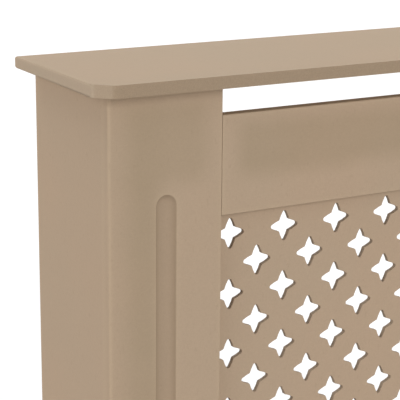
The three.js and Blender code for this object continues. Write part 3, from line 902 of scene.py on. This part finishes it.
def ordered_loops(edges):
    """Closed rings of vertices from a set of edges."""
    neighbours = {}
    for edge in edges:
        a, b = edge.verts
        neighbours.setdefault(a, []).append(b)
        neighbours.setdefault(b, []).append(a)
    left = dict.fromkeys(neighbours)
    rings = []
    while left:
        onward = [next(iter(left))]
        ring = []
        while onward:
            ring.append(onward[0])
            del left[onward[0]]
            onward = [vertex for vertex in neighbours[ring[-1]] if vertex in left]
        rings.append(ring)
    return rings


def places_near(values, level):
    """The places in a row of values that are near a level."""
    return [i for i, value in enumerate(values) if abs(value - level) < NEAR]


def from_top_left(ring):
    """The ring turned to begin at its top left point and to run along the top first."""
    zs = [vertex.co.z for vertex in ring]
    start = min(places_near(zs, max(zs)), key=lambda i: ring[i].co.x)
    ring = ring[start:] + ring[:start]
    if ring[1].co.x < ring[-1].co.x:
        ring = ring[:1] + ring[:0:-1]
    return ring


def carried_out(ring, low, high):
    """For each point of a zigzag ring, the point (x, z) that it is joined to on the sheet's edge."""
    points = [Vector((vertex.co.x, vertex.co.z)) for vertex in ring]
    xs = [point.x for point in points]
    zs = [point.y for point in points]
    at_top, at_bottom = places_near(zs, max(zs)), places_near(zs, min(zs))
    at_right, at_left = places_near(xs, max(xs)), places_near(xs, min(xs))
    # Each corner of the sheet, with the last point before it and the first one after it
    corners = [
        (at_top[-1], at_right[0], (high.x, high.z)),
        (at_right[-1], at_bottom[0], (high.x, low.z)),
        (at_bottom[-1], at_left[0], (low.x, low.z)),
        (at_left[-1], len(points), (low.x, high.z)),
    ]
    outer = []
    for i, point in enumerate(points):
        if i <= at_top[-1]:
            outer.append((point.x, high.z))
        elif at_right[0] <= i <= at_right[-1]:
            outer.append((high.x, point.y))
        elif at_bottom[0] <= i <= at_bottom[-1]:
            outer.append((point.x, low.z))
        elif at_left[0] <= i <= at_left[-1]:
            outer.append((low.x, point.y))
        else:
            first, last, corner = next(turn for turn in corners if turn[0] < i < turn[1])
            ends = points[first], (points + points[:1])[last]
            outer.append(round_sheet_corner(ends, corner, 2 * (i - first) / (last - first)))
    return outer


def round_sheet_corner(ends, corner, share):
    """A point on the two edges of the sheet that meet in a corner: up to a share of 1 on the first."""
    corner = Vector(corner)
    on_edges = []
    for point in ends:
        along_x = abs(point.y - corner.y) < abs(point.x - corner.x)
        on_edges.append(Vector((point.x, corner.y)) if along_x else Vector((corner.x, point.y)))
    if share <= 1:
        return tuple(on_edges[0].lerp(corner, share))
    return tuple(corner.lerp(on_edges[1], share - 1))


# ------ fittings

ZINC_STEEL = plated_steel("zinc_steel", ZINC_BRIGHT, ZINC_DULL, grain=260.0, polish=0.36)
SCREW_STEEL = plated_steel("screw_steel", SCREW_BRIGHT, SCREW_DULL, grain=700.0, polish=0.3)
BEECH = beech("beech_dowel")


def leg_rings(leg, width, hole_from_bend, level):
    """The outline and the hole of an angle's leg, as (distance from the corner, place across, level)."""
    bend = STEEL_BEND_RADIUS + STEEL_THICKNESS
    half = width / 2
    far = leg - STEEL_CORNER_ROUND
    side = half - STEEL_CORNER_ROUND
    outline = [(bend, half), (bend, -half)]
    outline += arc((far, -side), STEEL_CORNER_ROUND, -90, 0, STEEL_CORNER_STEPS)
    outline += arc((far, side), STEEL_CORNER_ROUND, 0, 90, STEEL_CORNER_STEPS)
    hole = arc((hole_from_bend, 0), STEEL_HOLE_RADIUS, 0, 360, STEEL_HOLE_SIDES)[:-1]
    return [[(out, across, level) for out, across in ring] for ring in (outline, hole)]


def make_angle(node, name, along, hole_from_bend):
    """A folded steel angle: one leg under the top board, along the way given, and one leg down."""
    low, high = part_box(node)
    along = Vector(along)
    down = Vector((0, 0, -1))
    width_way = Vector((abs(along.y), abs(along.x), 0))
    size = high - low
    width = abs(size.dot(width_way))
    centre = (low + high) / 2
    corner = Vector((centre.x, centre.y, high.z)) - along * abs(size.dot(along)) / 2
    body = bmesh.new()

    def folded(point, first, second):
        """A point of a flat leg, laid out along its two ways from the corner."""
        out, across, level = point
        return corner + first * out + second * level + width_way * across

    for first, second in ((along, down), (down, along)):
        sides = []
        for level in (0.0, STEEL_THICKNESS):
            rings = [
                ring_of(body, [folded(point, first, second) for point in ring])
                for ring in leg_rings(size.z, width, hole_from_bend, level)
            ]
            fill_between(body, rings)
            sides.append(rings)
        (outline, hole), (outline_in, hole_in) = sides
        join_rings(body, outline[1:] + outline[:1], outline_in[1:] + outline_in[:1], closed=False)
        join_rings(body, hole, hole_in)
    bend = STEEL_BEND_RADIUS + STEEL_THICKNESS
    strips = []
    for radius in (bend, STEEL_BEND_RADIUS):
        for across in (-width / 2, width / 2):
            bow = arc((bend, bend), radius, 180, 270, STEEL_BEND_STEPS)
            strips.append(ring_of(body, [folded((u, across, v), along, down) for u, v in bow]))
    for a, b in ((0, 1), (2, 3), (0, 2), (1, 3)):
        join_rings(body, strips[a], strips[b], closed=False)
    bmesh.ops.remove_doubles(body, verts=body.verts, dist=WELD)
    piece = finish_piece(name, body, [ZINC_STEEL], [node])
    rounding = piece.modifiers.new("eased_steel", "BEVEL")
    rounding.width = STEEL_EDGE_ROUND
    rounding.segments = 2
    rounding.limit_method = "ANGLE"
    rounding.angle_limit = math.radians(50)
    piece.modifiers.move(1, 0)  # ahead of the even shading


def turned_body(rows, sides):
    """A closed turned body from rows of (radius at an angle, height)."""
    body = bmesh.new()
    rings = []
    for radius_at, height in rows:
        ring = []
        for side in range(sides):
            angle = 2 * math.pi * side / sides
            radius = radius_at(angle)
            ring.append((radius * math.cos(angle), radius * math.sin(angle), height))
        rings.append(ring_of(body, ring))
    skin(body, rings)
    cap(body, rings)
    return body


def thread_radius(height, angle, length):
    """The radius of a screw's shank at a height and an angle, with its thread."""
    turns = height / THREAD_PITCH - angle / (2 * math.pi)
    ridge = max(0.0, 1 - THREAD_STEEPNESS * abs(turns - math.floor(turns) - 0.5))
    taper = min(1.0, (height + length) / SCREW_POINT + POINT_BLUNTNESS)
    return taper * (THREAD_CORE_RADIUS + (SHANK_RADIUS - THREAD_CORE_RADIUS) * ridge)


def screw_blank(length):
    """A pan head screw before its recess is struck. It stands on its bearing face, head up."""
    threaded = length - THREAD_END
    count = round(threaded / THREAD_PITCH * THREAD_STEPS)
    rows = []
    for row in range(count + 1):
        height = -length + threaded * row / count
        rows.append((lambda angle, height=height: thread_radius(height, angle, length), height))
    for height in (-NECK_END, 0.0):
        rows.append((lambda angle: NECK_RADIUS, height))
    for share, height in HEAD_PROFILE:
        radius = HEAD_RADIUS * share
        rows.append((lambda angle, radius=radius: radius, min(height * MM, HEAD_HEIGHT)))
    return mesh_of("screw_blank", turned_body(rows, SCREW_SIDES))


def cross_punch():
    """The tapered punch that strikes a cross recess into a screw's head."""
    reach, half = RECESS_REACH, RECESS_HALF_WIDTH
    arm = [(reach, -half), (reach, half), (half, half)]
    cross = []
    for _ in range(4):
        cross += arm
        arm = [(-y, x) for x, y in arm]
    ends = (RECESS_TIP, HEAD_HEIGHT - RECESS_DEPTH), (RECESS_MOUTH, HEAD_HEIGHT + MM / 2)
    body = bmesh.new()
    rings = [ring_of(body, [(x * share, y * share, height) for x, y in cross]) for share, height in ends]
    cap(body, rings)
    skin(body, rings)
    return mesh_of("cross_punch", body)


@functools.cache
def screw_mesh(length):
    """A pan head screw with a thread and a cross recess."""
    screw = put_in_scene("screw_blank", screw_blank(length))
    punch = put_in_scene("cross_punch", cross_punch())
    cut = screw.modifiers.new("recess", "BOOLEAN")
    cut.operation = "DIFFERENCE"
    cut.object = punch
    bpy.context.view_layer.update()
    depsgraph = bpy.context.evaluated_depsgraph_get()
    mesh = bpy.data.meshes.new_from_object(screw.evaluated_get(depsgraph))
    mesh.name = "screw"
    for piece in (screw, punch):
        bpy.data.objects.remove(piece)
    return surfaced(mesh, [SCREW_STEEL], 38)


@functools.cache
def dowel_mesh(length):
    """A grooved dowel with chamfered ends, along its own z axis."""
    half = length / 2

    def grooved(share):
        """The radius at an angle, as a share of the dowel's."""
        depth = DOWEL_GROOVE / 2
        return lambda angle: share * (DOWEL_RADIUS - depth - depth * math.cos(angle * DOWEL_GROOVES))

    chamfered = 1 - DOWEL_CHAMFER / DOWEL_RADIUS
    rows = [(grooved(chamfered), -half), (grooved(1.0), DOWEL_CHAMFER - half)]
    rows += [(grooved(1.0), half - DOWEL_CHAMFER), (grooved(chamfered), half)]
    return surfaced(mesh_of("dowel", turned_body(rows, 4 * DOWEL_GROOVES)), [BEECH], 35)


def fasteners(kind):
    """Each node of a kind of fastener, with its middle, its long axis and its length."""
    for node in sorted(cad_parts):
        if kind in node:
            low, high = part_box(node)
            axis = max(range(3), key=lambda i: high[i] - low[i])
            yield node, (low + high) / 2, axis, high[axis] - low[axis]


def stood(at, way):
    """The matrix that stands a fastener at a place, with its own z axis along the way given."""
    return Matrix.Translation(at) @ Vector((0, 0, 1)).rotation_difference(way).to_matrix().to_4x4()


def head_heights(node, axis, middle):
    """How far along the axis the vertices lie that only a screw's head reaches out to."""
    least = (HEAD_RADIUS * 0.8) ** 2
    heights = []
    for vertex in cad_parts[node].data.vertices:
        off = vertex.co - middle
        if off.length_squared - off[axis] ** 2 > least:
            heights.append(vertex.co[axis])
    return heights


def make_screws():
    """A screw for each screw node, on the bearing face and the way that the node has."""
    for node, middle, axis, length in fasteners("screw"):
        heights = head_heights(node, axis, middle)
        facing = Vector((0, 0, 0))
        facing[axis] = 1.0 if sum(heights) / len(heights) > middle[axis] else -1.0
        bearing = middle.copy()
        bearing[axis] = min(heights) if facing[axis] > 0 else max(heights)
        mesh = screw_mesh(round(length - HEAD_HEIGHT, 5))
        name = node.replace("screw", "pan_head_screw")
        show_piece(name, mesh, [node], stood(bearing, facing))


def make_dowels():
    """A dowel for each dowel node."""
    for node, middle, axis, length in fasteners("dowel"):
        along = Vector((0, 0, 0))
        along[axis] = 1.0
        name = node.replace("dowel", "grooved_dowel")
        show_piece(name, dowel_mesh(round(length, 5)), [node], stood(middle, along))


# ------ the whole cover

make_top_board()
make_rail("top_rail")
make_rail("bottom_rail")
make_grille()
for end, inwards in (("left", 1), ("right", -1)):
    make_side(end)
    make_pilaster(end)
    make_batten(end)
    for where in ("front", "back"):
        name = f"{end}_{where}_steel_angle"
        make_angle(f"{end}_{where}_bracket", name, (inwards, 0, 0), BRACKET_HOLE_FROM_BEND)
    make_angle(f"{end}_wall_bracket", f"{end}_wall_steel_angle", (0, -1, 0), WALL_BRACKET_HOLE_FROM_BEND)
make_screws()
make_dowels()

# ------ floor, light and camera

FLOOR_RADIUS = 60.0
FLOOR_DROP = 0.5 * MM  # under the cover's feet
FLOOR_GREYS = (0.54, 0.54, 0.54, 1.0), (0.56, 0.56, 0.56, 1.0)
FLOOR_GLOW = 0.52  # where it is seen, to show as white
WHITE = (1.0, 1.0, 1.0, 1.0)
AMBIENT = 0.30


def is_seen(tree):
    """One for camera, glossy and transmission rays."""
    path = place(tree, "LightPath").outputs
    seen = maths(tree, "MAXIMUM", path["Is Camera Ray"], path["Is Glossy Ray"])
    return maths(tree, "MAXIMUM", seen, path["Is Transmission Ray"])


def make_floor():
    """A plain pale floor that shows white where no shadow lies."""
    body = bmesh.new()
    bmesh.ops.create_circle(body, cap_ends=True, segments=64, radius=FLOOR_RADIUS)
    floor = put_in_scene("studio_floor", mesh_of("studio_floor", body))
    floor.location.z = -FLOOR_DROP
    material, tree, shader, where, _ = new_material("studio_floor", roughness=0.9, specular=0.1)
    feed(shader.inputs["Base Color"], mixed(tree, noise(tree, where, 3.0), *FLOOR_GREYS))
    shader.inputs["Emission Color"].default_value = WHITE
    feed(shader.inputs["Emission Strength"], times(tree, is_seen(tree), FLOOR_GLOW))
    floor.data.materials.append(material)


def make_world():
    """White where it is seen or mirrored, and a softer grey for the light that it gives."""
    world = bpy.data.worlds.new("studio")
    bpy.context.scene.world = world
    world.use_nodes = True
    tree = world.node_tree
    background = tree.nodes["Background"].inputs
    background["Color"].default_value = WHITE
    feed(background["Strength"], maths(tree, "MAXIMUM", is_seen(tree), AMBIENT))


def make_soft_light(name, comes_from, strength, spread):
    """A broad even light from one side, with soft shadows. The spread is in degrees."""
    lamp = bpy.data.lights.new(name, "SUN")
    lamp.energy = strength
    lamp.angle = math.radians(spread)
    light = put_in_scene(name, lamp)
    light.rotation_euler = Vector(comes_from).to_track_quat("Z", "Y").to_euler()
    light.visible_glossy = False


make_floor()
make_world()
make_soft_light("overhead_light", (-0.15, 0.3, 1.0), strength=1.27, spread=60)
make_soft_light("front_light", (0.12, -1.0, 0.3), strength=1.38, spread=26)
make_soft_light("left_light", (-1.0, -0.1, 0.1), strength=1.87, spread=60)
make_soft_light("right_light", (1.0, 0.1, 0.15), strength=1.1, spread=50)
make_soft_light("back_light", (0.1, 1.0, 0.15), strength=0.95, spread=50)

CAMERA_AT = (-1.0960, -1.2228, 1.0429)
CAMERA_TURN = 29.479  # degrees to the right of straight ahead
CAMERA_TILT = 14.759  # degrees down
CAMERA_ROLL = 0.473
CAMERA_LENS = 131.1
CAMERA_SENSOR = 36.0

camera = put_in_scene("camera", bpy.data.cameras.new("camera"))
camera.data.lens = CAMERA_LENS
camera.data.sensor_width = CAMERA_SENSOR
camera.data.clip_start = 0.05
camera.data.clip_end = 200.0
camera.matrix_world = (
    Matrix.Translation(CAMERA_AT)
    @ Matrix.Rotation(math.radians(-CAMERA_TURN), 4, "Z")
    @ Matrix.Rotation(math.radians(90 - CAMERA_TILT), 4, "X")
    @ Matrix.Rotation(math.radians(CAMERA_ROLL), 4, "Z")
)
bpy.context.scene.camera = camera
bpy.context.scene.view_settings.view_transform = "Standard"
